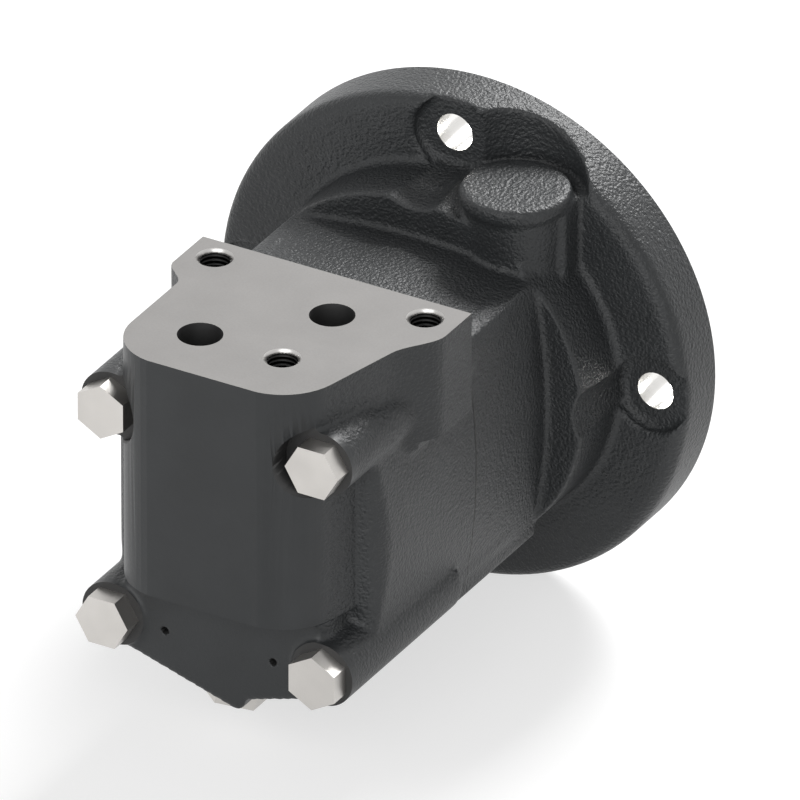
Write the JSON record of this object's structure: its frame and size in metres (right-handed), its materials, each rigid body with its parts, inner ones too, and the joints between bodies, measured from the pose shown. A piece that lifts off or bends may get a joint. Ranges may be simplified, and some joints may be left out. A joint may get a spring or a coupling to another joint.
{
  "type": "orbital hydraulic motor",
  "caption": "Orbital hydraulic motor with a black cast body, a round mounting flange, a machined port face and a tapered, keyed output shaft.",
  "frame": {"origin": "on the shaft axis at the flange's flat mounting face", "axes": "+Y along the shaft towards its free end, +Z out of the port face, +X to the right seen from the bolt heads"},
  "size_m": [0.186, 0.2673, 0.186],
  "materials": {
    "paint": "matte",
    "zinc": "satin",
    "steel": "satin",
    "dark_steel": "satin",
    "rubber": "matte",
    "bronze": "satin",
    "copper": "satin"
  },
  "bodies": {
    "housing": {"front_casting": "paint", "port_housing": "paint", "housing_bolts": "zinc", "parting_seal": "rubber", "stator_ring": "steel", "stator_dowels": "steel", "wear_plate": "bronze", "channel_plate": "steel", "balance_ring": "bronze", "balance_seals": "rubber", "balance_spring": "dark_steel", "front_bearing_cup": "steel", "rear_bearing_cup": "steel", "shaft_seal": "rubber", "dust_wiper": "rubber", "retaining_ring": "dark_steel", "drain_plug": "zinc", "drain_plug_seal": "copper"},
    "shaft": {"output_shaft": "steel", "shaft_key": "steel", "castle_nut": "steel", "split_pin": "steel", "front_bearing_cone": "steel", "rear_bearing_cone": "steel"},
    "orbit": {"link_spacer": "bronze"},
    "star": {"rotor_star": "steel"},
    "drive_link": {"drive_link": "steel"},
    "valve_link": {"valve_link": "steel"},
    "valve_disc": {"valve_disc": "steel"},
    "front_rollers": {"front_bearing_rollers": "steel"},
    "rear_rollers": {"rear_bearing_rollers": "steel"},
    "roller_1": {"roller_1": "steel"},
    "roller_2": {"roller_2": "steel"},
    "roller_3": {"roller_3": "steel"},
    "roller_4": {"roller_4": "steel"},
    "roller_5": {"roller_5": "steel"},
    "roller_6": {"roller_6": "steel"},
    "roller_7": {"roller_7": "steel"}
  },
  "joints": [
    {"name": "shaft_spin", "type": "hinge", "parent": "housing", "child": "shaft", "pos_m": [0, 0, 0], "axis": [0, 1, 0], "continuous": true},
    {"name": "orbit_turn", "type": "hinge", "parent": "housing", "child": "orbit", "pos_m": [0, -0.0824, 0], "axis": [0, 1, 0], "continuous": true},
    {"name": "star_spin", "type": "hinge", "parent": "orbit", "child": "star", "pos_m": [0, -0.0824, 0.003], "axis": [0, 1, 0], "continuous": true},
    {"name": "drive_link_spin", "type": "hinge", "parent": "orbit", "child": "drive_link", "pos_m": [0, -0.03, 0], "axis": [0, 0.9977, -0.0676], "continuous": true},
    {"name": "valve_link_spin", "type": "hinge", "parent": "orbit", "child": "valve_link", "pos_m": [0, -0.11645, 0], "axis": [0, 0.9936, 0.1126], "continuous": true},
    {"name": "valve_spin", "type": "hinge", "parent": "housing", "child": "valve_disc", "pos_m": [0, -0.11645, 0], "axis": [0, 1, 0], "continuous": true},
    {"name": "roller_1_spin", "type": "hinge", "parent": "housing", "child": "roller_1", "pos_m": [0, -0.0824, 0.036], "axis": [0, 1, 0], "continuous": true},
    {"name": "roller_2_spin", "type": "hinge", "parent": "housing", "child": "roller_2", "pos_m": [0.02815, -0.0824, 0.02245], "axis": [0, 1, 0], "continuous": true},
    {"name": "roller_3_spin", "type": "hinge", "parent": "housing", "child": "roller_3", "pos_m": [0.0351, -0.0824, -0.00801], "axis": [0, 1, 0], "continuous": true},
    {"name": "roller_4_spin", "type": "hinge", "parent": "housing", "child": "roller_4", "pos_m": [0.01562, -0.0824, -0.03243], "axis": [0, 1, 0], "continuous": true},
    {"name": "roller_5_spin", "type": "hinge", "parent": "housing", "child": "roller_5", "pos_m": [-0.01562, -0.0824, -0.03243], "axis": [0, 1, 0], "continuous": true},
    {"name": "roller_6_spin", "type": "hinge", "parent": "housing", "child": "roller_6", "pos_m": [-0.0351, -0.0824, -0.00801], "axis": [0, 1, 0], "continuous": true},
    {"name": "roller_7_spin", "type": "hinge", "parent": "housing", "child": "roller_7", "pos_m": [-0.02815, -0.0824, 0.02245], "axis": [0, 1, 0], "continuous": true},
    {"name": "front_rollers_spin", "type": "hinge", "parent": "housing", "child": "front_rollers", "pos_m": [0, -0.028, 0], "axis": [0, 1, 0], "continuous": true},
    {"name": "rear_rollers_spin", "type": "hinge", "parent": "housing", "child": "rear_rollers", "pos_m": [0, -0.055, 0], "axis": [0, 1, 0], "continuous": true}
  ],
  "couplings": [
    {"joint": "orbit_turn", "follows": "shaft_spin", "ratio": -6},
    {"joint": "star_spin", "follows": "shaft_spin", "ratio": 7},
    {"joint": "drive_link_spin", "follows": "shaft_spin", "ratio": 7},
    {"joint": "valve_link_spin", "follows": "shaft_spin", "ratio": 7},
    {"joint": "valve_spin", "follows": "shaft_spin", "ratio": 1},
    {"joint": "roller_1_spin", "follows": "shaft_spin", "ratio": -4.143},
    {"joint": "roller_2_spin", "follows": "shaft_spin", "ratio": -4.143},
    {"joint": "roller_3_spin", "follows": "shaft_spin", "ratio": -4.143},
    {"joint": "roller_4_spin", "follows": "shaft_spin", "ratio": -4.143},
    {"joint": "roller_5_spin", "follows": "shaft_spin", "ratio": -4.143},
    {"joint": "roller_6_spin", "follows": "shaft_spin", "ratio": -4.143},
    {"joint": "roller_7_spin", "follows": "shaft_spin", "ratio": -4.143},
    {"joint": "front_rollers_spin", "follows": "shaft_spin", "ratio": 0.438},
    {"joint": "rear_rollers_spin", "follows": "shaft_spin", "ratio": 0.438}
  ]
}
